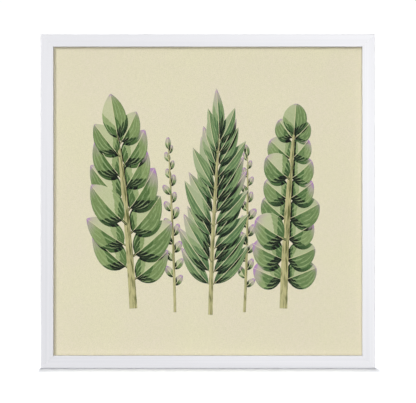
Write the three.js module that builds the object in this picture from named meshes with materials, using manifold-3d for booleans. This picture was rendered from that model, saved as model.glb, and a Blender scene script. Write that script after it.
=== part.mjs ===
// A square framed print for a wall: four mitred white wooden rails round a glass pane, a printed
// sheet and a backing board, held in by steel tabs, joined by V-nails and hung on a sawtooth hanger.
//
// Millimetres, +Z up. The picture faces -Y and the wall is the plane y = 0. The origin is where the
// wall nail sits: the crown of the hanger's middle notch, in the wall's plane.

import * as THREE from 'three';
import { mergeVertices } from 'three/addons/utils/BufferGeometryUtils.js';
import Module from 'manifold-3d';

const wasm = await Module();
wasm.setup();

// ---------------------------------------------------------------- driving dimensions, millimetres

const frameSize = 528; // outside of the square frame
const faceWidth = 20; // width of the rails, seen from the front
const railDepth = 28; // rails, front to back
const rabbetWidth = 7; // how far the lip reaches over the glass
const lipDepth = 6; // thickness of the lip, and so the depth of the glass behind the face
const mitreGap = 0.1; // set-back of each rail from the mitre, measured along the rail

const sheetSize = 500; // glass, print and backing board are cut alike
const glassThickness = 2;
const airGap = 0.25; // between the glass and the print, and behind the print
const printThickness = 0.5;
const boardThickness = 3;

const frontEdgeRadius = 1.5; // outer front edge of the rails
const sightEdgeRadius = 1; // inner front edge, beside the picture
const backEdgeRadius = 0.5;

const tabWidth = 12;
const tabInWood = 5.5;
const tabShown = 9;
const tabThickness = 0.5;
const tabOffsets = [-170, 0, 170]; // places of the tabs along each side
const clearance = 0.3; // round whatever is driven into the wood

const vNailLeg = 5; // length of each leg of the V
const vNailThickness = 0.6;
const vNailHeight = 10;
const vNailSunk = 0.2; // below the back of the wood
const vNailReach = { outer: 4.2, inner: 9.6 }; // apex from the outer edge, in each direction

const hangerLength = 46;
const hangerHeight = 9;
const hangerThickness = 0.75;
const hangerEar = 8.5; // flat end that lies on the wood
const hangerRise = 1.25; // how far the middle stands off the wood
const hangerRamp = 1.5;
const hangerInset = 2; // from the top of the frame down to the hanger
const toothPitch = 3;
const toothDepth = 1.5;
const toothNotches = 7;
const toothTip = 0.3; // width of the flat end of a tooth

const screwHole = 1.3; // radius of the hanger's holes
const screwShank = 0.9; // radius
const screwLength = 9;
const screwHead = 2.4; // radius
const screwHeadHeight = 1.2;
const crossSlot = { length: 2.8, width: 0.5, depth: 0.6 };

const bumperRadius = 5;
const bumperHeight = 2.5;
const bumperEdge = 0.5; // rounding of its back edge
const bumperInset = 24; // from the frame's side to the bumper's centre

// ------------------------------------------------------------------------------ derived positions

const half = frameSize / 2;
const landWidth = faceWidth - rabbetWidth; // the wood's flat back, beside the rabbet
const backY = -bumperHeight; // back of the rails
const frontY = backY - railDepth;
const glassFrontY = frontY + lipDepth;
const printFrontY = glassFrontY + glassThickness + airGap;
const boardFrontY = printFrontY + printThickness + airGap;
const boardBackY = boardFrontY + boardThickness;
const frameTopZ = hangerInset + hangerHeight - toothDepth;
const centreZ = frameTopZ - half;
const screwX = (hangerLength - hangerEar) / 2;
const screwZ = hangerHeight / 2 - toothDepth;

// ---------------------------------------------------------------------------------------- helpers

const roundSteps = 6; // straight pieces in a quarter circle
const holeSides = 20;
const screwSides = 24;
const bumperSides = 32;
const openEnd = 1; // how far a cut runs past the face that it opens

/** Closed three.js geometry to a manifold solid. */
function solid(geometry) {
  const bare = geometry.clone();
  bare.deleteAttribute('normal');
  bare.deleteAttribute('uv');
  const merged = mergeVertices(bare);
  return new wasm.Manifold(new wasm.Mesh({
    numProp: 3,
    vertProperties: new Float32Array(merged.attributes.position.array),
    triVerts: new Uint32Array(merged.index.array),
  }));
}

/** Manifold solid back to a three.js geometry with flat normals. */
function geometryOf(manifold) {
  const mesh = manifold.getMesh();
  const indexed = new THREE.BufferGeometry();
  indexed.setAttribute('position', new THREE.BufferAttribute(mesh.vertProperties, 3));
  indexed.setIndex(new THREE.BufferAttribute(mesh.triVerts, 1));
  const flat = indexed.toNonIndexed();
  flat.computeVertexNormals();
  return flat;
}

/** The first solid with every other one taken out of it. */
function cut(geometry, cutters) {
  const result = cutters.reduce((left, cutter) => left.subtract(solid(cutter)), solid(geometry));
  return geometryOf(result);
}

/** A flat outline in X and Z, given thickness from y = 0 towards +Y. */
function plateXZ(shape, thickness) {
  const plate = new THREE.ExtrudeGeometry(shape, {
    depth: thickness,
    bevelEnabled: false,
    curveSegments: roundSteps,
  });
  plate.rotateX(Math.PI / 2); // outline's y becomes z, and the depth runs towards -Y
  plate.translate(0, thickness, 0);
  return plate;
}

/** A box from its lowest corner and its size. */
function boxFrom(x, y, z, width, depth, height) {
  const box = new THREE.BoxGeometry(width, depth, height);
  box.translate(x + width / 2, y + depth / 2, z + height / 2);
  return box;
}

function addMesh(group, name, geometry, material) {
  const mesh = new THREE.Mesh(geometry, material);
  mesh.name = name;
  group.add(mesh);
  return mesh;
}

// -------------------------------------------------------------------------------------- materials

const whitePaint = new THREE.MeshStandardMaterial({ color: 0xe6e7ea, roughness: 0.45 });
const clearGlass = new THREE.MeshStandardMaterial({
  color: 0xf4f8f7,
  roughness: 0.05,
  transparent: true,
  opacity: 0.12,
});
const printedPaper = new THREE.MeshStandardMaterial({ color: 0xdfdabe, roughness: 0.85 });
const brownBoard = new THREE.MeshStandardMaterial({ color: 0xa07a52, roughness: 0.8 });
const zincSteel = new THREE.MeshStandardMaterial({ color: 0xb9bcc0, roughness: 0.4, metalness: 0.9 });
const clearRubber = new THREE.MeshStandardMaterial({ color: 0xe4e4df, roughness: 0.6 });

// ------------------------------------------------------------------------------------------ rails

/**
 * Section of a rail. X is the distance from the outside of the frame towards the picture, and Y is
 * the distance from the front face towards the wall: an L with rounded edges, whose rabbet holds
 * the glass, the print and the board.
 */
function railSection() {
  const front = frontEdgeRadius;
  const sight = sightEdgeRadius;
  const back = backEdgeRadius;
  const section = new THREE.Shape();
  section.moveTo(front, 0);
  section.lineTo(faceWidth - sight, 0);
  section.absarc(faceWidth - sight, sight, sight, -Math.PI / 2, 0, false);
  section.lineTo(faceWidth, lipDepth);
  section.lineTo(landWidth, lipDepth);
  section.lineTo(landWidth, railDepth - back);
  section.absarc(landWidth - back, railDepth - back, back, 0, Math.PI / 2, false);
  section.lineTo(back, railDepth);
  section.absarc(back, railDepth - back, back, Math.PI / 2, Math.PI, false);
  section.lineTo(0, front);
  section.absarc(front, front, front, Math.PI, 1.5 * Math.PI, false);
  return section;
}

/**
 * The bottom rail as a mitred stick, with the frame's centre at x = z = 0. Each end point of the
 * section is set back from the frame's side by its own distance from the outer edge: 45 degrees.
 */
function mitredStick() {
  const stick = new THREE.ExtrudeGeometry(railSection(), {
    depth: 1,
    bevelEnabled: false,
    curveSegments: roundSteps,
  });
  const corner = stick.attributes.position;
  for (let i = 0; i < corner.count; i += 1) {
    const inward = corner.getX(i);
    const fromFront = corner.getY(i);
    const end = corner.getZ(i) > 0 ? -1 : 1;
    corner.setXYZ(i, end * (half - inward - mitreGap), frontY + fromFront, inward - half);
  }
  return stick;
}

/**
 * A V-nail, or with a margin the pocket it is driven into, at the bottom left corner. Seen from the
 * back it is two legs at a right angle, whose bend lies on the mitre and points to the corner.
 */
function vNail(reach, margin) {
  const start = reach - margin - half;
  const bend = reach + vNailThickness + margin - half;
  const end = reach + vNailLeg + margin - half;
  const outline = new THREE.Shape();
  outline.moveTo(start, start);
  outline.lineTo(end, start);
  outline.lineTo(end, bend);
  outline.lineTo(bend, bend);
  outline.lineTo(bend, end);
  outline.lineTo(start, end);
  outline.closePath();
  const nail = plateXZ(outline, vNailHeight + 2 * margin);
  nail.translate(0, backY - vNailSunk - vNailHeight - margin, 0);
  return nail;
}

/** The slot for a retaining tab in the rabbet wall of the bottom rail. */
function tabSlot(along) {
  const width = tabWidth + 2 * clearance;
  const depth = tabThickness + 2 * clearance;
  const reach = tabInWood + clearance;
  const floor = landWidth - half - reach;
  return boxFrom(along - width / 2, boardBackY - clearance, floor, width, depth, reach + openEnd);
}

/** The pilot hole of a hanger screw, in the rail that it is driven into. */
function pilotHole(along) {
  const radius = screwShank + clearance;
  const depth = screwLength - hangerThickness + clearance + openEnd;
  const hole = new THREE.CylinderGeometry(radius, radius, depth, holeSides);
  hole.translate(along, backY + openEnd - depth / 2, landWidth / 2 - half);
  return hole;
}

/** The bottom rail with its slots and V-nail pockets, and whatever else is cut from it. */
function railGeometry(extraCutters = []) {
  const cutters = tabOffsets.map(tabSlot);
  for (const reach of Object.values(vNailReach)) {
    const leftPocket = vNail(reach, clearance);
    const rightPocket = leftPocket.clone();
    rightPocket.rotateY(-Math.PI / 2);
    cutters.push(leftPocket, rightPocket);
  }
  return cut(mitredStick(), [...cutters, ...extraCutters]);
}

// ------------------------------------------------------------------------------------ what it holds

/** Glass, print or board: a square sheet of the given thickness. */
function sheetGeometry(sheetFrontY, thickness) {
  return boxFrom(-sheetSize / 2, sheetFrontY, -sheetSize / 2, sheetSize, thickness, sheetSize);
}

/** A retaining tab of the bottom rail: a chamfered tang in the wood, a round-cornered tongue out. */
function tabGeometry(along) {
  const wall = landWidth - half;
  const side = tabWidth / 2;
  const chamfer = 2.5;
  const round = 2.5;
  const outline = new THREE.Shape();
  outline.moveTo(chamfer - side, wall - tabInWood);
  outline.lineTo(side - chamfer, wall - tabInWood);
  outline.lineTo(side, wall - tabInWood + chamfer);
  outline.lineTo(side, wall + tabShown - round);
  outline.absarc(side - round, wall + tabShown - round, round, 0, Math.PI / 2, false);
  outline.lineTo(round - side, wall + tabShown);
  outline.absarc(round - side, wall + tabShown - round, round, Math.PI / 2, Math.PI, false);
  outline.lineTo(-side, wall - tabInWood + chamfer);
  outline.closePath();
  const tab = plateXZ(outline, tabThickness);
  tab.translate(along, boardBackY, 0);
  return tab;
}

// ----------------------------------------------------------------------------------------- hanger

/**
 * The sawtooth hanger: a strip whose ends lie on the wood and whose middle stands off it, with
 * notches along its lower edge. The crown of the middle notch is at z = 0.
 */
function hangerGeometry() {
  const end = hangerLength / 2;
  const ear = end - hangerEar;
  const raised = ear - hangerRamp;
  const strip = new THREE.Shape();
  strip.moveTo(-end, 0);
  strip.lineTo(-ear, 0);
  strip.lineTo(-raised, hangerRise);
  strip.lineTo(raised, hangerRise);
  strip.lineTo(ear, 0);
  strip.lineTo(end, 0);
  strip.lineTo(end, hangerThickness);
  strip.lineTo(ear, hangerThickness);
  strip.lineTo(raised, hangerRise + hangerThickness);
  strip.lineTo(-raised, hangerRise + hangerThickness);
  strip.lineTo(-ear, hangerThickness);
  strip.lineTo(-end, hangerThickness);
  strip.closePath();
  const bar = new THREE.ExtrudeGeometry(strip, { depth: hangerHeight, bevelEnabled: false });
  bar.translate(0, backY, -toothDepth);

  const cutters = [];
  for (let i = 0; i < toothNotches; i += 1) {
    cutters.push(toothNotch((i - (toothNotches - 1) / 2) * toothPitch));
  }
  for (const side of [-1, 1]) {
    const through = hangerThickness + 2 * openEnd;
    const hole = new THREE.CylinderGeometry(screwHole, screwHole, through, holeSides);
    hole.translate(side * screwX, backY + hangerThickness / 2, screwZ);
    cutters.push(hole);
  }
  return cut(bar, cutters);
}

/** The triangular bite between two teeth, right through the strip and open downwards. */
function toothNotch(x) {
  const slope = (toothPitch - toothTip) / 2 / toothDepth;
  const height = toothDepth + openEnd;
  const bite = new THREE.Shape();
  bite.moveTo(x, 0);
  bite.lineTo(x - slope * height, -height);
  bite.lineTo(x + slope * height, -height);
  bite.closePath();
  const cutter = plateXZ(bite, hangerRise + hangerThickness + 2 * openEnd);
  cutter.translate(0, backY - openEnd, 0);
  return cutter;
}

/** A pan-head screw along Y, its head's underside at y = 0 and its point towards -Y. */
function screwGeometry() {
  const point = 1.6;
  const shoulder = 0.45;
  const underHead = hangerThickness - screwLength;
  const profile = [
    new THREE.Vector2(0, underHead),
    new THREE.Vector2(screwShank, underHead + point),
    new THREE.Vector2(screwShank, 0),
    new THREE.Vector2(screwHead, 0),
    new THREE.Vector2(screwHead, shoulder),
  ];
  for (let i = 1; i <= roundSteps; i += 1) {
    const turn = (i / roundSteps) * (Math.PI / 2);
    const radius = i === roundSteps ? 0 : screwHead * Math.cos(turn);
    const height = shoulder + (screwHeadHeight - shoulder) * Math.sin(turn);
    profile.push(new THREE.Vector2(radius, height));
  }
  const { length, width, depth } = crossSlot;
  const bottom = screwHeadHeight - depth;
  return cut(new THREE.LatheGeometry(profile, screwSides), [
    boxFrom(-length / 2, bottom, -width / 2, length, depth + openEnd, width),
    boxFrom(-width / 2, bottom, -length / 2, width, depth + openEnd, length),
  ]);
}

/** A round soft bumper along Y, stuck to the wood at y = 0, its rounded end towards the wall. */
function bumperGeometry() {
  const profile = [new THREE.Vector2(0, 0), new THREE.Vector2(bumperRadius, 0)];
  for (let i = 0; i <= roundSteps; i += 1) {
    const turn = (i / roundSteps) * (Math.PI / 2);
    const radius = bumperRadius - bumperEdge * (1 - Math.cos(turn));
    const height = bumperHeight - bumperEdge * (1 - Math.sin(turn));
    profile.push(new THREE.Vector2(radius, height));
  }
  profile.push(new THREE.Vector2(0, bumperHeight));
  return new THREE.LatheGeometry(profile, bumperSides);
}

// --------------------------------------------------------------------------------------- assembly

const framedPrint = new THREE.Group();
const frame = new THREE.Group(); // its own origin is the centre of the square
frame.position.z = centreZ;
framedPrint.add(frame);

const sides = ['bottom', 'left', 'top', 'right']; // each a quarter turn on from the one before
const corners = ['bottom_left', 'top_left', 'top_right', 'bottom_right'];
const plainRail = railGeometry();
const topRail = railGeometry([pilotHole(-screwX), pilotHole(screwX)]);

sides.forEach((side, turns) => {
  const quarter = new THREE.Group();
  quarter.rotation.y = (turns * Math.PI) / 2;
  frame.add(quarter);
  addMesh(quarter, `rail_${side}`, side === 'top' ? topRail : plainRail, whitePaint);
  tabOffsets.forEach((along, i) => {
    addMesh(quarter, `tab_${side}_${i + 1}`, tabGeometry(along), zincSteel);
  });
  for (const [place, reach] of Object.entries(vNailReach)) {
    addMesh(quarter, `vnail_${corners[turns]}_${place}`, vNail(reach, 0), zincSteel);
  }
});

addMesh(frame, 'glazing', sheetGeometry(glassFrontY, glassThickness), clearGlass);
addMesh(frame, 'print', sheetGeometry(printFrontY, printThickness), printedPaper);
addMesh(frame, 'backing_board', sheetGeometry(boardFrontY, boardThickness), brownBoard);

addMesh(framedPrint, 'hanger', hangerGeometry(), zincSteel);
for (const [side, sign] of [['left', -1], ['right', 1]]) {
  const screw = addMesh(framedPrint, `hanger_screw_${side}`, screwGeometry(), zincSteel);
  screw.position.set(sign * screwX, backY + hangerThickness, screwZ);
  const bumper = addMesh(frame, `bumper_${side}`, bumperGeometry(), clearRubber);
  bumper.position.set(sign * (half - bumperInset), backY, landWidth / 2 - half);
}

export default framedPrint;
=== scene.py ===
"""Looks for a square framed print: satin white mitred rails, a glass pane over a botanical sheet,
and on the open back a fibre board, steel tabs, a sawtooth hanger and two soft bumpers.

Metres, +Z up. The picture faces -Y, the wall is the plane y = 0, and the origin is the nail seat."""

import math
from collections import namedtuple
from functools import reduce

import bpy
import numpy as np
from mathutils.geometry import delaunay_2d_cdt
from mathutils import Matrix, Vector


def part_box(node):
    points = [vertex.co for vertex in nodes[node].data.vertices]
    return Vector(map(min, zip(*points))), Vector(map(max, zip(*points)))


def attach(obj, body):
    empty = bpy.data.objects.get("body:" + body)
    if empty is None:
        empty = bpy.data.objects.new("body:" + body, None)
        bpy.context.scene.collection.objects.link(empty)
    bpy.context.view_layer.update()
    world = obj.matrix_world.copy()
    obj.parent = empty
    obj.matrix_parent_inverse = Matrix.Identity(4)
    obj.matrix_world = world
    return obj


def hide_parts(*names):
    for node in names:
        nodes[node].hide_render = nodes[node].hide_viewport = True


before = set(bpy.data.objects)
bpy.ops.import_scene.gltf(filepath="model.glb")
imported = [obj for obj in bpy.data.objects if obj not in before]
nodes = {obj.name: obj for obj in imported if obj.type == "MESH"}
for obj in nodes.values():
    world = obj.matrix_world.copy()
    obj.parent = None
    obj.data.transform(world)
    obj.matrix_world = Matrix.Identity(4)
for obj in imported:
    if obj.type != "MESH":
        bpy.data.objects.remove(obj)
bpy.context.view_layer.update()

MM = 0.001

# ---------------------------------------------------------------------------- places, from the frame

print_low, print_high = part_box("print")
rail_low, rail_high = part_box("rail_bottom")
glass_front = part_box("glazing")[0].y
frame_half = (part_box("rail_right")[1].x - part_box("rail_left")[0].x) / 2
frame_foot = rail_low.z
frame_centre_z = frame_foot + frame_half
front_y = rail_low.y
back_y = rail_high.y


def add_object(name, data):
    """A new object at the origin, linked to the scene."""
    made = bpy.data.objects.new(name, data)
    bpy.context.scene.collection.objects.link(made)
    return made


# ------------------------------------------------------------------------------------------- camera

IMAGE_WIDTH = 416
IMAGE_HEIGHT = 403
FRAME_IN_IMAGE = 334.4  # width of the frame in the image, in pixels
FRAME_CENTRE_IN_IMAGE = (207.8, 201.3)
LENS = 100  # millimetres
SENSOR_WIDTH = 36  # millimetres


def add_camera():
    """A long lens straight in front of the picture, at the height of its middle."""
    data = bpy.data.cameras.new("camera")
    data.lens = LENS
    data.sensor_width = SENSOR_WIDTH
    pixel = 2 * frame_half / FRAME_IN_IMAGE
    distance = pixel * IMAGE_WIDTH * LENS / SENSOR_WIDTH
    right = (IMAGE_WIDTH / 2 - FRAME_CENTRE_IN_IMAGE[0]) * pixel
    down = (IMAGE_HEIGHT / 2 - FRAME_CENTRE_IN_IMAGE[1]) * pixel
    camera = add_object("camera", data)
    camera.location = (right, front_y - distance, frame_centre_z - down)
    camera.rotation_euler = (math.radians(90), 0, 0)
    bpy.context.scene.camera = camera


# -------------------------------------------------------------------------------------- shader maths


class Wire:
    """One output of a shader node. An expression on wires adds the Math nodes that work it out."""

    def __init__(self, tree, socket=None):
        self.tree = tree
        self.socket = socket

    def node(self, kind, settings=None, inputs=None, output=0):
        """A new node: its settings are set first, then the values or wires of its sockets."""
        made = self.tree.nodes.new("ShaderNode" + kind)
        for name, value in (settings or {}).items():
            if name == "stops":
                set_stops(made.color_ramp, value)
            else:
                setattr(made, name, value)
        for name, value in (inputs or {}).items():
            if isinstance(value, Wire):
                self.tree.links.new(value.socket, made.inputs[name])
            else:
                made.inputs[name].default_value = value
        return Wire(self.tree, made.outputs[output] if made.outputs else None)

    def math(self, operation, *values):
        return self.node("Math", {"operation": operation}, dict(enumerate(values)))

    def __add__(self, other):
        return self.math("ADD", self, other)

    def __radd__(self, other):
        return self.math("ADD", other, self)

    def __sub__(self, other):
        return self.math("SUBTRACT", self, other)

    def __rsub__(self, other):
        return self.math("SUBTRACT", other, self)

    def __mul__(self, other):
        return self.math("MULTIPLY", self, other)

    def __rmul__(self, other):
        return self.math("MULTIPLY", other, self)

    def __abs__(self):
        return self.math("ABSOLUTE", self)

    def __gt__(self, other):
        return self.math("GREATER_THAN", self, other)

    def __lt__(self, other):
        return self.math("LESS_THAN", self, other)

    def fraction(self):
        return self.math("FRACT", self)

    def floor(self):
        return self.math("FLOOR", self)

    def root(self):
        return self.math("SQRT", self)

    def larger(self, other):
        return self.math("MAXIMUM", self, other)

    def smaller(self, other):
        return self.math("MINIMUM", self, other)

    def rise(self, low, high):
        """0 below low, 1 above high and a smooth step between them."""
        settings = {"interpolation_type": "SMOOTHSTEP"}
        return self.node("MapRange", settings, {"Value": self, "From Min": low, "From Max": high})

    def between(self, off, on):
        """The colour off where this is 0, on where it is 1, and mixed between."""
        return self.node("Mix", {"data_type": "RGBA"}, {0: self, 6: off, 7: on}, output=2)

    def xyz(self):
        parts = self.node("SeparateXYZ", None, {0: self}).socket.node.outputs
        return [Wire(self.tree, part) for part in parts]


def set_stops(ramp, stops):
    """Colour ramp stops, as (position, colour) from low to high."""
    while len(ramp.elements) < len(stops):
        ramp.elements.new(1.0)
    for element, (position, colour) in zip(ramp.elements, stops):
        element.position = position
        element.color = colour


def new_finish(name):
    """An empty material and the wire that its nodes start from."""
    finish = bpy.data.materials.new(name)
    finish.use_nodes = True
    finish.node_tree.nodes.clear()
    return finish, Wire(finish.node_tree)


def object_place(start):
    return start.node("TexCoord", output="Object")


def stored(start, name):
    """The three values that a mesh keeps on its corners under a name."""
    settings = {"attribute_name": name, "attribute_type": "GEOMETRY"}
    return start.node("Attribute", settings, output="Vector").xyz()


def joined(x, y, z):
    """A place made of three values, of which the first is a wire."""
    return x.node("CombineXYZ", None, {0: x, 1: y, 2: z})


def noise(at, scale, detail=2.0, roughness=0.5):
    """Soft random values round 0.5, the same on every run. On the object's place, the scale is per
    metre."""
    inputs = {"Vector": at, "Scale": scale, "Detail": detail, "Roughness": roughness}
    return at.node("TexNoise", None, inputs)


def streaky(at, scales, detail=2.0, roughness=0.5):
    """Noise with a scale of its own along each axis, so drawn out along the one with the lowest."""
    drawn = at.node("VectorMath", {"operation": "MULTIPLY"}, {0: at, 1: scales})
    return noise(drawn, 1.0, detail, roughness)


def bump(height, distance, strength):
    """A surface normal tilted by a height, which counts distance metres at 1."""
    inputs = {"Height": height, "Distance": distance, "Strength": strength}
    return height.node("Bump", None, inputs)


def surface(start, **sockets):
    """The closing shader of a finish, with its sockets by name, underscores for spaces."""
    inputs = {name.replace("_", " "): value for name, value in sockets.items()}
    shader = start.node("BsdfPrincipled", None, inputs)
    start.node("OutputMaterial", None, {"Surface": shader})


def srgb(red, green, blue):
    """A colour given in 0 to 255 steps of the screen, as linear light with alpha 1."""
    steps = np.array([red, green, blue]) / 255
    linear = np.where(steps <= 0.04045, steps / 12.92, ((steps + 0.055) / 1.055) ** 2.4)
    return (*linear.tolist(), 1.0)


# ------------------------------------------------------------------------------ frame's own finishes

# A pair holds the colours where a mask is 0 and where it is 1.
PAINT = srgb(219, 219.5, 224), srgb(229, 229, 233)
SAPWOOD = srgb(204, 168, 122), srgb(232, 208, 168)
LATE_WOOD = srgb(176, 132, 84)
GLASS = srgb(240, 246, 243)
ZINC = srgb(172, 175, 180), srgb(214, 216, 219)
BOARD = srgb(138, 99, 64), srgb(158, 117, 79)
DARK_FIBRE = srgb(96, 62, 36)
PALE_FIBRE = srgb(196, 160, 116)
MILKY = srgb(214, 214, 206), srgb(230, 230, 224)
FIBRE_TURNS = (0.15, 0.80, 1.35, 2.05, 2.70)  # radians, about the way through the board

LAND_WIDTH = 13 * MM  # the wood's flat back, beside the rabbet
PAINT_END = 0.4 * MM  # the paint gives way to bare wood over this much, just before the back
RAGGED_EDGE = 0.8 * MM  # how far that end wavers, at most
MARGIN = 0.1 * MM  # a face right at a limit counts as past it


def drawn_out(axis, across, along):
    """Three scales for streaks that run along one axis."""
    scales = [across, across, across]
    scales[axis] = along
    return scales


def bare_wood(place, axis):
    """Pale sapwood: fine grain over broad rings, late wood that darkens towards each ring's end,
    and short pores."""
    grain = streaky(place, drawn_out(axis, 750, 7.5), 4.0, 0.6)
    rings = streaky(place, drawn_out(axis, 154, 2.1))
    sapwood = (grain * 0.5 + rings * 0.5).rise(0.3, 0.7).between(*SAPWOOD)
    through_ring = (rings * 7.0 + grain * 0.8).fraction()
    late_wood = (through_ring.rise(0.62, 0.94) - through_ring.rise(0.94, 1.0)) * 0.5
    pores = streaky(place, drawn_out(axis, 2600, 90), 1.0).rise(0.66, 0.74) * 0.45
    return late_wood.larger(pores).between(sapwood, LATE_WOOD)


def painted_wood(name, axis):
    """Satin white paint with the wood's grain just showing along the rail, and bare pale wood on
    the back and in the rabbet. The axis is 0 for a rail that runs in X and 2 for one in Z."""
    finish, start = new_finish(name)
    place = object_place(start)
    x, y, z = place.xyz()
    streaks = streaky(place, drawn_out(axis, 300, 3), 3.0, 0.6)
    bands = streaky(place, drawn_out(axis, 110, 1.5), 1.0)
    paint = (streaks * 0.6 + bands * 0.4).rise(0.25, 0.75).between(*PAINT)

    inward = frame_half - abs(x).larger(abs(z - frame_centre_z))
    ragged = noise(place, 300.0) * RAGGED_EDGE
    on_back = (y + ragged).rise(back_y - PAINT_END, back_y)
    in_rabbet = (inward > LAND_WIDTH - MARGIN) * (y > glass_front - MARGIN)
    bare = on_back.larger(in_rabbet)

    relief = streaks * 0.7 + noise(place, 1500.0) * 0.3
    surface(
        start,
        Base_Color=bare.between(paint, bare_wood(place, axis)),
        Roughness=bare * 0.3 + streaks * 0.1 + 0.36,
        Normal=bump(relief, 0.08 * MM, 0.6),
    )
    return finish


def clear_pane():
    """Thin clear glass: it lets nearly all light through and mirrors a little of the room."""
    finish, start = new_finish("clear pane")
    surface(start, Base_Color=GLASS, Metallic=1.0, Roughness=0.02, Alpha=0.035)
    return finish


def galvanised_steel():
    """Zinc-coated steel: cool grey with a fine cloudy spangle and drawn scratches."""
    finish, start = new_finish("galvanised steel")
    place = object_place(start)
    crystals = start.node("TexVoronoi", None, {"Vector": place, "Scale": 420.0}, output="Color").xyz()[0]
    cloud = noise(place, 650.0, 3.0, 0.6)
    scratches = streaky(place, (160, 900, 4000))
    tone = crystals * 0.25 + cloud * 0.4 + scratches * 0.35
    surface(
        start,
        Base_Color=tone.rise(0.25, 0.75).between(*ZINC),
        Metallic=1.0,
        Roughness=tone * 0.25 + 0.24,
        Normal=bump(scratches, 0.02 * MM, 0.5),
    )
    return finish


def pressed_fibre():
    """Brown hardboard: pale and dark wood fibres pressed flat in every direction over a faint
    mottle. The fibres are noise drawn out along several turned directions."""
    finish, start = new_finish("pressed fibre")
    place = object_place(start)
    fibres = []
    for turn in FIBRE_TURNS:
        turned_place = place.node("Mapping", None, {"Vector": place, "Rotation": (0, turn, 0)})
        fibres.append(streaky(turned_place, (230, 1100, 2100)))
    pale = reduce(Wire.larger, fibres).rise(0.60, 0.74)
    dark = 1.0 - reduce(Wire.smaller, fibres).rise(0.26, 0.40)
    dust = noise(place, 2200.0)
    mottle = noise(place, 26.0, 4.0, 0.65)
    board = (mottle * 0.6 + dust * 0.4).rise(0.3, 0.7).between(*BOARD)
    darker = (dark * 0.40).between(board, DARK_FIBRE)
    surface(
        start,
        Base_Color=(pale * 0.36).between(darker, PALE_FIBRE),
        Roughness=dust * 0.2 + 0.62,
        Normal=bump(pale * 0.5 - dark * 0.3 + dust * 0.3, 0.08 * MM, 0.6),
    )
    return finish


def soft_polymer():
    """Milky soft bumper."""
    finish, start = new_finish("soft polymer")
    cloud = noise(object_place(start), 400.0)
    surface(
        start,
        Base_Color=cloud.between(*MILKY),
        Roughness=cloud * 0.1 + 0.35,
        Subsurface_Weight=0.2,
        Subsurface_Scale=2 * MM,
    )
    return finish


# ---------------------------------------------------------------------------------- print's finish

STEM, BROAD, LANCE, ROUND, BUD = range(1, 6)  # kinds of painted shape

GROUND_WASH = srgb(236, 227, 204), srgb(236, 231, 198)
GROUND_THREADS = srgb(224, 218, 187)
LEAF_GREENS = [  # by tone
    (0.00, srgb(0, 6, 0)),
    (0.14, srgb(18, 38, 16)),
    (0.34, srgb(80, 112, 58)),
    (0.54, srgb(140, 160, 102)),
    (0.80, srgb(190, 198, 152)),
    (1.00, srgb(216, 214, 178)),
]
COOL_GREEN = srgb(84, 128, 98)
STRIPE_LIT_SHADED = srgb(158, 180, 124), srgb(72, 108, 62)
TIP_GREY = srgb(192, 176, 172)
TIP_LILAC = srgb(182, 128, 200)
RIB_FOOT_BLADE = srgb(178, 174, 118), srgb(226, 220, 178)
RIM_DARK_LIT = srgb(62, 92, 60), srgb(222, 222, 182)
BARK = srgb(104, 108, 58), srgb(196, 190, 138)

# Wires on a painted shape: s from foot to tip, v across it from -1 on its dark side to 1 on its lit
# side, out from its midrib to its edge, its half breadth in millimetres, a chance of its own, its
# kind, 1 on its lit half, 1 in the shadow of a higher shape, brush strokes, dry grain, and a small
# wander for the edges.
Painted = namedtuple("Painted", "s v out breadth chance kind lit shaded strokes dry wander")


def is_kind(shape, wanted):
    """1 on shapes of one kind and 0 on the others."""
    return (shape.kind > wanted - 0.5) * (shape.kind < wanted + 0.5)


def paper_ground(place, weave):
    """Cream paper: a wash that clouds over from one cream to another, and darker threads."""
    cloud = noise(place, 9.0, 4.0, 0.6) + (noise(place, 170.0, 3.0, 0.6) - 0.5) * 0.40
    wash = (cloud + (weave - 1.0) * 0.25).rise(0.22, 0.78).between(*GROUND_WASH)
    return (weave.rise(0.80, 1.20) * 0.6).between(wash, GROUND_THREADS)


def leaf_planes(leaf):
    """Where three flat facets lie, 1 on each and 0 off it, with edges that waver a little: a light
    one up the lit half, a low one over the foot, and one folded down low on the dark half."""
    light = leaf.lit * (leaf.s - leaf.out * 0.35 + leaf.wander > leaf.chance * 0.22 + 0.20)
    low = leaf.s - leaf.out * 0.22 + leaf.wander < leaf.chance * 0.14 + 0.16
    folded = (1.0 - leaf.lit) * (leaf.s + leaf.out * 0.5 + leaf.wander < leaf.chance * 0.5 + 0.35)
    return light, low, folded


def paint_tone(leaf, light, low, folded):
    """How light the paint is: the facets, each with a random tone of its own, under strokes and
    dry grain, and the shadow of a higher leaf, which is deepest at the foot. A facet's place is
    made of steps, so that its random tone is one value all over it."""
    facet_place = joined(light, (leaf.chance * 97.0).floor(), folded * 3.0)
    facet = light.node("TexWhiteNoise", None, {"Vector": facet_place}, output="Value")
    planes = leaf.lit * 0.12 + light * 0.28 - low * 0.26 - folded * 0.12
    brushed = (facet - 0.5) * 0.10 + (leaf.strokes - 0.5) * 0.12 + (leaf.dry - 0.5) * 0.24
    deep = leaf.shaded * (0.84 - leaf.s * 0.40)
    return planes + brushed + (leaf.chance - 0.5) * 0.14 + leaf.s * 0.08 + 0.42 - deep


def with_stripes(leaf, colour, light):
    """Side veins as broken stripes from foot to tip, fewer on a lance leaf, and none on the light
    facet."""
    to_each_side = is_kind(leaf, LANCE) * -1.2 + 3.6
    lines = abs((leaf.v * to_each_side + leaf.wander * 2.0).fraction() - 0.5)
    up_the_blade = leaf.s.rise(0.12, 0.3) - leaf.s.rise(0.82, 0.95)
    stripes = lines.rise(0.28, 0.40) * (1.0 - light) * up_the_blade * leaf.strokes.rise(0.40, 0.52)
    return (stripes * 0.75).between(colour, leaf.shaded.between(*STRIPE_LIT_SHADED))


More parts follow.
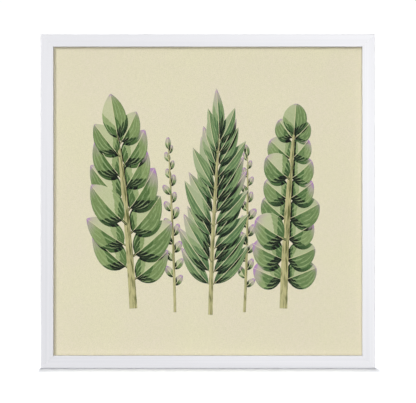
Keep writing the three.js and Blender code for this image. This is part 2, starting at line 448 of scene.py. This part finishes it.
def with_tip(leaf, colour):
    """A grey bloom that spreads down from a lilac tip, further on a bud."""
    is_bud = is_kind(leaf, BUD)
    spread = leaf.s + (leaf.strokes - 0.5) * 0.4 + (leaf.chance - 0.5) * 0.3 + is_bud * 0.3
    bloomed = (spread.rise(0.76, 1.04) * 0.75).between(colour, TIP_GREY)
    tip = leaf.s + (leaf.dry - 0.5) * 0.12 + (leaf.chance - 0.5) * 0.10 + is_bud * 0.10
    return (tip.rise(0.92, 1.0) * 0.8).between(bloomed, TIP_LILAC)


def with_rib_and_rim(leaf, colour):
    """A cream midrib and a thin broken rim, both as wide on a small leaf as on a large one."""
    from_rib = leaf.out * leaf.breadth
    from_edge = (1.0 - leaf.out) * leaf.breadth
    rib = (1.0 - from_rib.rise(0.25, 0.55)) * (leaf.dry * 0.6 + 0.6)
    ribbed = rib.between(colour, leaf.s.rise(0.08, 0.2).between(*RIB_FOOT_BLADE))
    rim = (1.0 - from_edge.rise(0.3, 0.6)) * leaf.strokes.rise(0.35, 0.55) * leaf.s.rise(0.12, 0.2)
    return (rim * 0.8).between(ribbed, leaf.lit.between(*RIM_DARK_LIT))


def leaf_colour(leaf):
    """A leaf or bud in layers: its greens by tone, side veins, tip, midrib and rim."""
    light, low, folded = leaf_planes(leaf)
    tone = paint_tone(leaf, light, low, folded)
    green = tone.node("ValToRGB", {"stops": LEAF_GREENS}, {"Fac": tone}, output="Color")
    cooled = (is_kind(leaf, LANCE) * 0.30 + is_kind(leaf, ROUND) * 0.10) * tone.rise(0.0, 0.40)
    striped = with_stripes(leaf, cooled.between(green, COOL_GREEN), light)
    return with_rib_and_rim(leaf, with_tip(leaf, striped))


def stem_colour(stem):
    """Long strokes of olive and straw, lighter on the lit side."""
    strokes = noise(joined(stem.s * 14.0, stem.v * 2.2, stem.chance), 1.0, 3.0)
    return (strokes + stem.lit * 0.14).rise(0.38, 0.66).between(*BARK)


def gouache_print():
    """Matt fine-art paper with painted leaves: flat facets between the veins, a lit and a shaded
    half, lilac tips, cream midribs and rims, and the grain of dry gouache on a cream ground."""
    finish, start = new_finish("gouache print")
    place = object_place(start)
    s, v, breadth = stored(start, "leaf_place")
    chance, kind, shaded = stored(start, "leaf_tone")
    strokes = noise(joined(s * 5.0, v * 9.0, chance * 40.0), 1.0, 3.0, 0.6)
    dry = noise(place, 520.0, 4.0, 0.7)
    wander = (strokes - 0.5) * 0.10
    shape = Painted(s, v, abs(v), breadth, chance, kind, v > 0.0, shaded, strokes, dry, wander)

    upright_threads = streaky(place, (760, 760, 170), 3.0, 0.6)
    level_threads = streaky(place, (170, 760, 760), 3.0, 0.6)
    weave = upright_threads + level_threads
    painted = kind > 0.5
    paint = is_kind(shape, STEM).between(leaf_colour(shape), stem_colour(shape))
    relief = weave * 0.5 + painted * 0.35 * dry
    surface(
        start,
        Base_Color=painted.between(paper_ground(place, weave), paint),
        Roughness=dry * 0.12 + 0.72,
        Specular_IOR_Level=0.08,
        Normal=bump(relief, 0.06 * MM, 0.5),
    )
    return finish


# ------------------------------------------------------------------------------------------ dressing


def paint_node(name, finish):
    """Gives a carried-over solid its finish."""
    mesh = nodes[name].data
    mesh.materials.clear()
    mesh.materials.append(finish)


def dress_the_frame():
    across = painted_wood("painted wood across", 0)
    upright = painted_wood("painted wood upright", 2)
    paint_node("rail_top", across)
    paint_node("rail_bottom", across)
    paint_node("rail_left", upright)
    paint_node("rail_right", upright)
    paint_node("glazing", clear_pane())
    paint_node("backing_board", pressed_fibre())


def add_piece(name, mesh, node, finish):
    """A new piece in the place of a carried-over solid."""
    mesh.materials.append(finish)
    piece = add_object(name, mesh)
    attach(piece, "root")
    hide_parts(node)


# ----------------------------------------------------------------------------------- metal and rubber

# POINTS are counted round a ring, and SQUARENESS is the power of a ring's superellipse.
CREASE = math.radians(40)  # an edge that turns more stays sharp

TAB_IN_WOOD = 5.5 * MM
TAB_BOW = 0.45 * MM
TAB_FACE_RINGS = np.linspace(0.04, 0.96, 14)  # shares of the outline, from the middle out
TAB_EDGE_RINGS = np.array([(0.985, 0.02), (0.996, 0.06), (1.0, 0.12)])  # the same, and mm climbed
TAB_POINTS = 56
TAB_SQUARENESS = 5

HANGER_THICKNESS = 0.75 * MM
HANGER_EAR = 8.5 * MM
HANGER_RAMP = 1.5 * MM
HANGER_CORNER = 1.4 * MM
HANGER_CORNER_STEPS = 9
HANGER_STATIONS = 181
HANGER_POINTS = 40
HANGER_SQUARENESS = 9
TOOTH_PITCH = 3 * MM
TOOTH_TIP = 0.3 * MM
TOOTH_NOTCHES = 7

SCREW_HEAD_HEIGHT = 1.2 * MM
SCREW_HEAD_SIDE = 0.4 * MM
SCREW_HEAD_EDGE = 0.08 * MM
SCREW_SHANK = np.array([(0.02, 0), (0.5, 0.7), (0.9, 1.6)]) * MM  # radius and level, from the point
SCREW_NECK = 0.01 * MM  # keeps the shank's last ring apart from the head's first
SCREW_DOME_STEPS = 42
SCREW_POINTS = 96
CROSS_ARM = 0.42 * MM  # half the width of the cross's arms
CROSS_REACH = 1.5 * MM
CROSS_WALL = 0.14 * MM
CROSS_DEPTH = 0.55 * MM

BUMPER_EDGE = 0.9 * MM
BUMPER_EDGE_STEPS = 10
BUMPER_CROWN = 0.12 * MM
BUMPER_CROWN_STEPS = 12
BUMPER_FOOT_EDGE = 0.2 * MM
BUMPER_FOOT_MIDDLE = 0.1 * MM  # radius of the first ring, on the wood
BUMPER_CROWN_MIDDLE = 0.05 * MM  # radius of the last ring
BUMPER_POINTS = 72


def stacked(rings):
    """A closed skin over a stack of rings, an array of rings by points by three, wound against the
    clock as seen from the stack's far end. A point in the middle of each end ring closes it."""
    count, around = rings.shape[:2]
    step = np.arange(around)
    after = (step + 1) % around
    base = np.arange(count - 1)[:, None] * around
    quads = np.stack([base + step, base + after, base + around + after, base + around + step], -1)
    first_pole = count * around
    last_ring = (count - 1) * around
    first = np.stack([np.full(around, first_pole), after, step], -1)
    last = np.stack([np.full(around, first_pole + 1), last_ring + step, last_ring + after], -1)
    points = np.concatenate([rings.reshape(-1, 3), [rings[0].mean(0), rings[-1].mean(0)]])
    return points, [*quads.reshape(-1, 4).tolist(), *first.tolist(), *last.tolist()]


def add_stacked(name, node, rings, finish):
    """A smooth piece from a stack of rings."""
    points, faces = stacked(rings)
    mesh = bpy.data.meshes.new(name)
    mesh.from_pydata(points.tolist(), [], faces)
    mesh.polygons.foreach_set("use_smooth", np.ones(len(mesh.polygons), bool))
    mesh.set_sharp_from_angle(angle=CREASE)
    add_piece(name, mesh, node, finish)


def full_turn(points):
    return np.linspace(0, 2 * math.pi, points + 1)[:-1]


def superellipse(points, half_a, half_b, power):
    """A rounded rectangle: the cosine and the sine of the turn, each to 2 over the power."""
    turns = full_turn(points)
    a = half_a * np.sign(np.cos(turns)) * np.abs(np.cos(turns)) ** (2 / power)
    b = half_b * np.sign(np.sin(turns)) * np.abs(np.sin(turns)) ** (2 / power)
    return a, b


def middle_of(node):
    """The middle of a node's box, as x and z."""
    low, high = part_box(node)
    return (low.x + high.x) / 2, (low.z + high.z) / 2


def turned(radius, points):
    """The rings that a profile's radii sweep round Y, as x and z from its axis."""
    turns = full_turn(points)
    return radius[:, None] * np.sin(turns), radius[:, None] * np.cos(turns)


def add_tab(name, quarter_turns, finish):
    """A springy steel tongue: rings of a rounded outline grow from the middle of its face over a
    softened edge and close again behind. Past the wood it bows up by the sine squared of its reach
    and comes down on the board at its tip. It is worked out on the bottom rail and then turned."""
    low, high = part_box("tab_bottom_1")
    own_x, own_z = middle_of(name)
    half_reach = (high.z - low.z) / 2
    half_width = (high.x - low.x) / 2
    thickness = high.y - low.y
    growing = np.concatenate([TAB_FACE_RINGS, TAB_EDGE_RINGS[:, 0]])
    climbing = np.concatenate([0 * TAB_FACE_RINGS, TAB_EDGE_RINGS[:, 1] * MM])
    sizes = np.concatenate([growing, growing[::-1]])[:, None]
    heights = np.concatenate([climbing, thickness - climbing[::-1]])[:, None]
    reach, across = superellipse(TAB_POINTS, half_reach, half_width, TAB_SQUARENESS)
    reach = sizes * reach
    across = sizes * across
    shown = np.clip((reach + half_reach - TAB_IN_WOOD) / (2 * half_reach - TAB_IN_WOOD), 0, 1)
    y = low.y + heights + TAB_BOW * np.sin(math.pi * shown) ** 2

    turn = quarter_turns * math.pi / 2
    side_x = own_x * math.cos(turn) - (own_z - frame_centre_z) * math.sin(turn) + across
    side_z = low.z + half_reach - frame_centre_z + reach
    x = side_x * math.cos(turn) + side_z * math.sin(turn)
    z = -side_x * math.sin(turn) + side_z * math.cos(turn) + frame_centre_z
    add_stacked(name.replace("tab", "bowed_tab"), name, np.stack([x, y, z], -1), finish)


def add_hanger(finish):
    """A stamped steel strip: a flat rounded section carried along X. Its middle stands off the wood
    on two smooth ramps, its lower edge rises and falls in teeth, and its ends have round corners."""
    low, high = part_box("hanger")
    end = high.x
    half_thickness = HANGER_THICKNESS / 2
    rise = high.y - low.y - HANGER_THICKNESS
    ear = end - HANGER_EAR
    tooth_half = (TOOTH_PITCH - TOOTH_TIP) / 2
    crowns = (np.arange(TOOTH_NOTCHES) - (TOOTH_NOTCHES - 1) / 2) * TOOTH_PITCH
    rounding = end - HANGER_CORNER * (1 - np.cos(np.linspace(0, math.pi / 2, HANGER_CORNER_STEPS)))
    even = np.linspace(-rounding[-1], rounding[-1], HANGER_STATIONS)
    teeth = [crowns, crowns - tooth_half, crowns + tooth_half]
    x = np.unique(np.concatenate([even, *teeth, rounding, -rounding]))[:, None]

    from_crown = np.abs(x - crowns).min(1, keepdims=True)
    tooth = np.clip(1 - from_crown / tooth_half, 0, 1) * -low.z
    inside = np.clip(HANGER_CORNER - (end - np.abs(x)), 0, HANGER_CORNER)
    round_off = HANGER_CORNER - np.sqrt(HANGER_CORNER**2 - inside**2)
    bottom = low.z + tooth + round_off
    top = high.z - round_off
    ramp = np.clip((ear - np.abs(x)) / HANGER_RAMP, 0, 1)
    middle = low.y + half_thickness + rise * ramp**2 * (3 - 2 * ramp)

    y, z = superellipse(HANGER_POINTS, 1, 1, HANGER_SQUARENESS)
    y = middle + half_thickness * y
    z = (bottom + top) / 2 + (top - bottom) / 2 * z
    rings = np.stack([x + 0 * y, y, z], -1)
    add_stacked("sawtooth_hanger", "hanger", rings, finish)


def add_screw(side, finish):
    """A pan-head screw turned round Y: point, shank, then a domed head, with a cross sunk into it
    where the turned place lies within an arm's width of either axis."""
    node = "hanger_screw_" + side
    low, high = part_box(node)
    centre_x, centre_z = middle_of(node)
    head = (high.x - low.x) / 2
    seat = high.y - low.y - SCREW_HEAD_HEIGHT
    shank_radius = SCREW_SHANK[-1, 0]
    neck = [(shank_radius, seat - SCREW_NECK), (shank_radius, seat)]
    under = [(head - SCREW_HEAD_EDGE, seat), (head, seat + SCREW_HEAD_EDGE)]
    climb = np.linspace(0, math.pi / 2, SCREW_DOME_STEPS)[:-1]
    dome_start = seat + SCREW_HEAD_SIDE
    dome_height = dome_start + (SCREW_HEAD_HEIGHT - SCREW_HEAD_SIDE) * np.sin(climb)
    dome = np.column_stack([head * np.cos(climb), dome_height])
    radius, level = np.concatenate([SCREW_SHANK, neck, under, dome]).T

    x, z = turned(radius, SCREW_POINTS)
    narrow = np.minimum(np.abs(x), np.abs(z))
    long = np.maximum(np.abs(x), np.abs(z))
    in_arm = np.clip((CROSS_ARM - narrow) / CROSS_WALL, 0, 1)
    in_reach = np.clip((CROSS_REACH - long) / CROSS_WALL, 0, 1)
    level = level[:, None]
    y = low.y + level - CROSS_DEPTH * in_arm * in_reach * (level > dome_start)
    rings = np.stack([centre_x + x, y, centre_z + z], -1)
    add_stacked("screw_" + side, node, rings, finish)


def add_bumper(side, finish):
    """A soft disc turned round Y: flat on the wood, straight sides, a round edge and a low crown
    that falls away with the square of the radius."""
    node = "bumper_" + side
    low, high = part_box(node)
    centre_x, centre_z = middle_of(node)
    wide = (high.x - low.x) / 2
    tall = high.y - low.y
    flat = wide - BUMPER_EDGE
    foot = [(BUMPER_FOOT_MIDDLE, 0), (wide - BUMPER_FOOT_EDGE, 0), (wide, BUMPER_FOOT_EDGE)]
    bend = np.linspace(0, math.pi / 2, BUMPER_EDGE_STEPS)
    shoulder_radius = wide - BUMPER_EDGE * (1 - np.cos(bend))
    shoulder_level = tall - BUMPER_CROWN - BUMPER_EDGE * (1 - np.sin(bend))
    shoulder = np.column_stack([shoulder_radius, shoulder_level])
    inwards = np.linspace(flat, BUMPER_CROWN_MIDDLE, BUMPER_CROWN_STEPS)[1:]
    crown = np.column_stack([inwards, tall - BUMPER_CROWN * (inwards / flat) ** 2])
    radius, level = np.concatenate([foot, shoulder, crown]).T

    x, z = turned(radius, BUMPER_POINTS)
    y = low.y + level[:, None] + 0 * x
    rings = np.stack([centre_x + x, y, centre_z + z], -1)
    add_stacked("soft_bumper_" + side, node, rings, finish)


def add_hardware():
    steel = galvanised_steel()
    for quarter_turns, side in enumerate(["bottom", "left", "top", "right"]):
        for number in (1, 2, 3):
            add_tab(f"tab_{side}_{number}", quarter_turns, steel)
    add_hanger(steel)
    rubber = soft_polymer()
    for side in ("left", "right"):
        add_screw(side, steel)
        add_bumper(side, rubber)
    for name in nodes:
        if name.startswith("vnail_"):
            paint_node(name, steel)


# ------------------------------------------------------------------------------------------- artwork

Leaf = namedtuple("Leaf", "kind x z angle length half_width bend")  # millimetres and radians

STALK_SWELL_TAPER = np.array([  # stalk's share of the length, then the powers of s and 1 - s, by kind
    (0.0, 0.0, 0.35),  # stem
    (0.12, 0.62, 0.85),  # broad leaf
    (0.08, 0.75, 1.05),  # lance leaf
    (0.10, 0.50, 0.62),  # round leaf
    (0.06, 0.55, 0.60),  # bud
])
STALK_WIDTH = 0.07  # of a leaf's half width
LIGHT_ON_LEAVES = (-0.6, 0.8)
SHADOW_SHIFT = (2.6, -4.4)  # millimetres
LEAF_STATIONS = 22
LOWEST_LEAF = 0.16  # share of the way up the stem
LEAFY_SHARE = 0.80  # share of the stem from the lowest leaf to the highest
TIP_LEAF = 0.985
UPRIGHT = math.radians(90)
TRIANGLES_INSIDE = 1  # the kind of tiling: triangles that fill the outlines
TILING_TOLERANCE = 1e-5


def half_breadth(leaf, s):
    """Half a leaf's width at s, which runs 0 to 1 from foot to tip: the widest half width times s
    to one power times 1 - s to another, scaled to 1 at its widest, behind a narrow stalk."""
    stalk, swell, taper = np.moveaxis(STALK_SWELL_TAPER[leaf.kind - 1], -1, 0)
    blade = np.clip((s - stalk) / (1 - stalk), 0, 1)
    widest = swell / (swell + taper)
    most = widest**swell * (1 - widest) ** taper
    shape = blade**swell * (1 - blade) ** taper / most
    return leaf.half_width * np.maximum(shape, STALK_WIDTH * (1 - s))


def on_sheet(leaf, s, v):
    """The place of s along a leaf and v across it, -1 to 1: s lengths along its axis, then aside by
    the bend times the square of s and by v half breadths."""
    along = s * leaf.length
    aside = leaf.bend * leaf.length * s**2 + v * half_breadth(leaf, s)
    x = leaf.x + along * np.cos(leaf.angle) - aside * np.sin(leaf.angle)
    z = leaf.z + along * np.sin(leaf.angle) + aside * np.cos(leaf.angle)
    return np.stack([x, z], -1)


def on_leaf(leaf, x, z):
    """The way back from a place on the sheet to s, v and the half breadth there."""
    along = (x - leaf.x) * np.cos(leaf.angle) + (z - leaf.z) * np.sin(leaf.angle)
    aside = (z - leaf.z) * np.cos(leaf.angle) - (x - leaf.x) * np.sin(leaf.angle)
    s = np.clip(along / leaf.length, 0, 1)
    breadth = half_breadth(leaf, s)
    v = (aside - leaf.bend * leaf.length * s**2) / np.maximum(breadth, 0.01)
    return s, np.clip(v, -1, 1), breadth


def sprig(draw, kind, foot, lean, length, bend, steps, leaf_length, leaf_width, spread, paired):
    """One stem with leaves up it, in the order they are painted: those behind the stem from the
    lowest up, then the stem, then the few that lie over it, and the leaf at the tip. Leaves spread
    less up the stem and are smaller towards its ends, each with a random share of its own."""
    stem = Leaf(STEM, foot[0], foot[1], lean, length, leaf_width * 0.09 + 1.0, bend)
    behind = []
    over = []
    for step in range(steps):
        s = LOWEST_LEAF + LEAFY_SHARE * step / (steps - 1)
        x, z = on_sheet(stem, s, 0)
        along_stem = lean + math.atan(2 * bend * s)
        one_side = 1 if step % 2 else -1
        for side in (1, -1) if paired else (one_side,):
            turn = side * (spread * (1.08 - 0.5 * s) + draw.uniform(-0.12, 0.12))
            grown = (1.0 - 0.42 * s**2 - 0.25 * (1 - s) ** 3) * draw.uniform(0.92, 1.08)
            half_width = leaf_width / 2 * grown * draw.uniform(0.92, 1.06)
            droop = -side * draw.uniform(0.02, 0.16)
            leaf = Leaf(kind, x, z, along_stem + turn, leaf_length * grown, half_width, droop)
            layer = over if step % 3 == 2 and side > 0 else behind
            layer.append(leaf)
    tip_x, tip_z = on_sheet(stem, TIP_LEAF, 0)
    tip_turn = lean + math.atan(2 * bend) + draw.uniform(-0.1, 0.1)
    tip_bend = draw.uniform(-0.08, 0.08)
    tip = Leaf(kind, tip_x, tip_z, tip_turn, leaf_length * 0.8, leaf_width * 0.33, tip_bend)
    return [*behind, stem, *over, tip]


def leafy_sprigs():
    """Three sprigs side by side, of broad leaves, lance leaves and round paired leaves, with two
    slender stems of buds between them."""
    draw = np.random.default_rng(11)
    buds_left = sprig(
        draw, BUD, foot=(-52, -176), lean=UPRIGHT + 0.02, length=262, bend=0.02,
        steps=17, leaf_length=25, leaf_width=14, spread=0.75, paired=False,
    )
    buds_right = sprig(
        draw, BUD, foot=(58, -176), lean=UPRIGHT - 0.05, length=250, bend=0.03,
        steps=16, leaf_length=25, leaf_width=14, spread=0.75, paired=False,
    )
    left = sprig(
        draw, BROAD, foot=(-118, -170), lean=UPRIGHT + 0.06, length=270, bend=0.03,
        steps=13, leaf_length=96, leaf_width=58, spread=1.0, paired=False,
    )
    middle = sprig(
        draw, LANCE, foot=(4, -180), lean=UPRIGHT - 0.02, length=284, bend=-0.03,
        steps=13, leaf_length=100, leaf_width=29, spread=0.80, paired=True,
    )
    right = sprig(
        draw, ROUND, foot=(120, -170), lean=UPRIGHT - 0.02, length=280, bend=-0.04,
        steps=8, leaf_length=62, leaf_width=58, spread=1.30, paired=True,
    )
    return buds_left + buds_right + left + right + middle


def leaf_outline(leaf, stations):
    """Round a leaf against the clock: up its right side from foot to tip and down its left."""
    out = on_sheet(leaf, stations, -1.0)
    back = on_sheet(leaf, stations[-2::-1], 1.0)
    return np.concatenate([out, back])


def topmost(outlines_over, odd):
    """For each triangle, the highest leaf over it, counted from 1, or 0 for none. It goes by the
    leaves' shadows where odd is 1 and by the leaves themselves where it is 0, because outline 0 is
    the sheet's and each leaf then has two: its shadow's, an odd number, and its own, an even one."""
    leaves_over = [[(i + 1) // 2 for i in over if i % 2 == odd] for over in outlines_over]
    return np.array([max(over, default=0) for over in leaves_over])


def tile_the_sheet(leaves, corners):
    """Cuts the sheet along every leaf's outline, midrib and shadow. Gives the places of the cuts'
    corners, the triangles, and for each triangle the leaf on top, or -1, and whether a higher
    leaf's shadow falls on it. Stations up a leaf lie closer towards its ends, as the cosine of
    even turns."""
    stations = (1 - np.cos(np.linspace(0, math.pi, LEAF_STATIONS + 1))) / 2
    points = [corners]
    outlines = [list(range(len(corners)))]
    midribs = []
    count = len(corners)
    for leaf in leaves:
        outline = leaf_outline(leaf, stations)
        for ring in (outline + SHADOW_SHIFT, outline):
            points.append(ring)
            outlines.append(list(range(count, count + len(ring))))
            count += len(ring)
        points.append(on_sheet(leaf, stations[1:-1], 0.0))
        midribs += [(i, i + 1) for i in range(count, count + len(stations) - 3)]
        count += len(stations) - 2
    flat = np.concatenate(points).tolist()
    cut = delaunay_2d_cdt(flat, midribs, outlines, TRIANGLES_INSIDE, TILING_TOLERANCE)
    places, triangles, outlines_over = np.array(cut[0]), np.array(cut[2]), cut[5]
    top_leaf = topmost(outlines_over, 0)
    top_shadow = topmost(outlines_over, 1)
    return places, triangles, top_leaf - 1, top_shadow > top_leaf


def painted_values(leaves, places, triangles, owner, shaded):
    """What the paint needs at each triangle's corners, by name: s, v counted towards the light and
    the half breadth, then the leaf's own chance, its kind, and 1 in shadow. All are 0 on bare
    ground, which has the owner -1."""
    draw = np.random.default_rng(23)
    chance = draw.random(len(leaves))[owner][:, None]
    columns = Leaf(*np.array(leaves)[owner].T[:, :, None])
    columns = columns._replace(kind=columns.kind.astype(int))
    x, z = places[triangles].transpose(2, 0, 1)
    s, v, breadth = on_leaf(columns, x, z)
    side_x, side_z = -np.sin(columns.angle), np.cos(columns.angle)
    lit = np.sign(side_x * LIGHT_ON_LEAVES[0] + side_z * LIGHT_ON_LEAVES[1])
    painted = (owner >= 0)[:, None, None]
    whole = np.ones_like(s)
    place = np.stack([s, v * lit, breadth], -1)
    tone = np.stack([chance * whole, columns.kind * whole, shaded[:, None] * whole], -1)
    return {"leaf_place": place * painted, "leaf_tone": tone * painted}


def stood_up(flat, y):
    """Places on the sheet, in millimetres from its middle, stood up in the frame at y."""
    return np.column_stack([flat[:, 0] * MM, np.full(len(flat), y), flat[:, 1] * MM + frame_centre_z])


def add_print():
    """The printed sheet: flat, with its front cut into the painted shapes."""
    leaves = leafy_sprigs()
    half = (print_high.x - print_low.x) / 2 / MM
    corners = np.array([(-half, -half), (half, -half), (half, half), (-half, half)])
    places, triangles, owner, shaded = tile_the_sheet(leaves, corners)
    points = np.concatenate([stood_up(places, print_low.y), stood_up(corners, print_high.y)])
    back = len(places)
    sides = [(i, back + i, back + (i + 1) % 4, (i + 1) % 4) for i in range(4)]
    behind = (back + 3, back + 2, back + 1, back)
    mesh = bpy.data.meshes.new("print_sheet")
    mesh.from_pydata(points.tolist(), [], [*triangles.tolist(), *sides, behind])
    for name, values in painted_values(leaves, places, triangles, owner, shaded).items():
        on_corners = np.zeros((len(mesh.loops), 3))
        on_corners[: values.size // 3] = values.reshape(-1, 3)
        attribute = mesh.attributes.new(name, "FLOAT_VECTOR", "CORNER")
        attribute.data.foreach_set("vector", on_corners.ravel())
    add_piece("print_sheet", mesh, "print", gouache_print())


# -------------------------------------------------------------------------------------- light, floor

FLOOR_RADIUS = 4.0
FLOOR_POINTS = 96
FLOOR_FADE = 0.4, 1.3  # metres out, from near to far
# Near and far colours. Near it is slightly cool, against the warm light that the print throws on it.
FLOOR_COLOUR = srgb(238, 240, 245), srgb(0, 0, 0)
FLOOR_GLOW = srgb(90, 90, 90), srgb(255, 255, 255)
BACKGROUND_SEEN = 1.02  # strength for the camera
BACKGROUND_LIGHT = 0.19  # strength for all else


def pale_floor():
    """A plain studio floor that is lit near the frame and glows as white as the background far out."""
    finish, start = new_finish("pale floor")
    x, y, z = object_place(start).xyz()
    far = (x * x + y * y).root().rise(*FLOOR_FADE)
    surface(
        start,
        Base_Color=far.between(*FLOOR_COLOUR),
        Roughness=0.9,
        Specular_IOR_Level=0.0,
        Emission_Color=far.between(*FLOOR_GLOW),
        Emission_Strength=1.03,
    )
    return finish


def add_floor():
    """A round floor under the frame."""
    turns = full_turn(FLOOR_POINTS)
    level = np.full(FLOOR_POINTS, frame_foot)
    rim = np.column_stack([FLOOR_RADIUS * np.cos(turns), FLOOR_RADIUS * np.sin(turns), level])
    mesh = bpy.data.meshes.new("floor")
    mesh.from_pydata(rim.tolist(), [], [list(range(FLOOR_POINTS))])
    mesh.materials.append(pale_floor())
    floor = add_object("floor", mesh)
    floor.visible_diffuse = False
    floor.visible_glossy = False
    floor.visible_shadow = False
    return floor


def add_area_light(name, place, size, power):
    """A square light, its size in metres and its power in watts, aimed at the frame's middle. Its
    height is counted from there."""
    data = bpy.data.lights.new(name, "AREA")
    data.shape = "SQUARE"
    data.size = size
    data.energy = power
    light = add_object(name, data)
    x, y, above = place
    light.location = (x, y, frame_centre_z + above)
    aim_x, aim_y = -x, front_y - y
    yaw = math.atan2(aim_y, aim_x) - math.pi / 2
    pitch = math.atan2(-above, math.hypot(aim_x, aim_y)) + math.pi / 2
    light.rotation_euler = (pitch, 0, yaw)
    return light


def reach_only(lights, floor, state):
    """Lights that reach the floor alone, with the state INCLUDE, or all but the floor, with EXCLUDE."""
    reached = bpy.data.collections.new("floor " + state.lower())
    reached.objects.link(floor)
    reached.collection_objects[0].light_linking.link_state = state
    for light in lights:
        light.light_linking.receiver_collection = reached


def light_the_studio(floor):
    """A large key high on the left, a fill in front, a low sheen from the right, and soft lights
    beside, behind and above the frame. The floor has its own light, so far up that its shadow at
    the foot is hardly wider than the frame."""
    key = add_area_light("key", (-5.8, -12.0, 4.8), size=4.8, power=990)
    front = add_area_light("front fill", (0.2, -6.2, -0.4), size=2.4, power=153)
    front.visible_glossy = False
    sheen = add_area_light("sheen right", (1.75, -6.0, 0.4), size=1.2, power=252)
    sheen.visible_diffuse = False
    right = add_area_light("side right", (5.0, 0.9, 1.6), size=2.4, power=190)
    left = add_area_light("side left", (-5.0, 0.9, 1.6), size=2.4, power=130)
    back = add_area_light("back fill", (0.9, 2.2, 1.0), size=1.6, power=36)
    top = add_area_light("top fill", (0, 0, 4.5), size=2.0, power=50)
    reach_only([key, front, sheen, right, left, back, top], floor, "EXCLUDE")
    over_floor = add_area_light("floor light", (-0.2, 3.4, 60.0), size=0.7, power=38500)
    over_floor.data.shape = "RECTANGLE"
    over_floor.data.size_y = 7.8
    reach_only([over_floor], floor, "INCLUDE")


def add_background():
    """White as the camera sees it, and a weak even light for all else."""
    world = bpy.data.worlds.new("studio")
    world.use_nodes = True
    world.node_tree.nodes.clear()
    start = Wire(world.node_tree)
    seen = start.node("LightPath", output="Is Camera Ray")
    strength = seen * (BACKGROUND_SEEN - BACKGROUND_LIGHT) + BACKGROUND_LIGHT
    sky = start.node("Background", None, {"Color": srgb(255, 255, 255), "Strength": strength})
    start.node("OutputWorld", None, {"Surface": sky})
    bpy.context.scene.world = world


add_camera()
light_the_studio(add_floor())
add_background()
dress_the_frame()
add_print()
add_hardware()
bpy.context.scene.view_settings.view_transform = "Standard"
